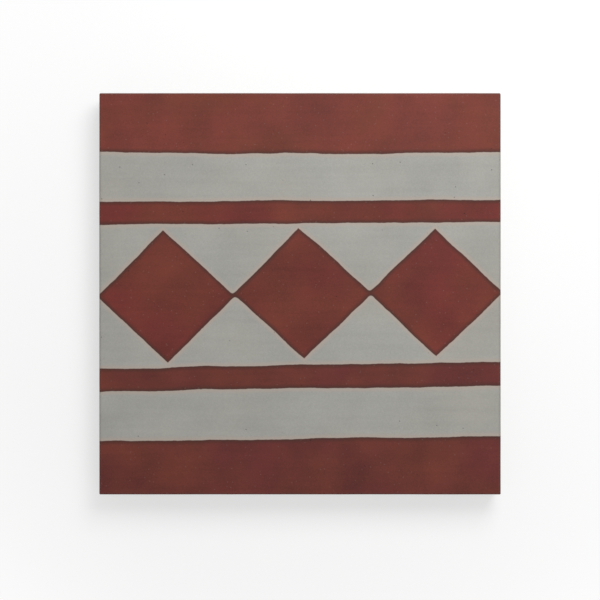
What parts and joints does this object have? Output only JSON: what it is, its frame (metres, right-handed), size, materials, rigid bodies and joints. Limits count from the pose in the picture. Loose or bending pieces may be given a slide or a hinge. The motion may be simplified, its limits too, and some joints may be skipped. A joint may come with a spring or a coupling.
{
  "type": "cement border tile",
  "caption": "Square pressed cement floor tile with an inlaid border pattern of red bands, thin lines and a row of lozenges on gray, flat bed and drafted sides.",
  "frame": {"origin": "middle of the bed, the tile's flat cast back", "axes": "+Z out of the patterned face, +X along the border's run, +Y across the border towards its outer edge"},
  "size_m": [0.2, 0.2, 0.016],
  "materials": {
    "pigmented_cement": "matte smooth pigmented cement face, inlaid oxide red and light gray, over plain gray mortar"
  },
  "bodies": {
    "root": {"border_tile": "pigmented_cement"}
  },
  "joints": []
}
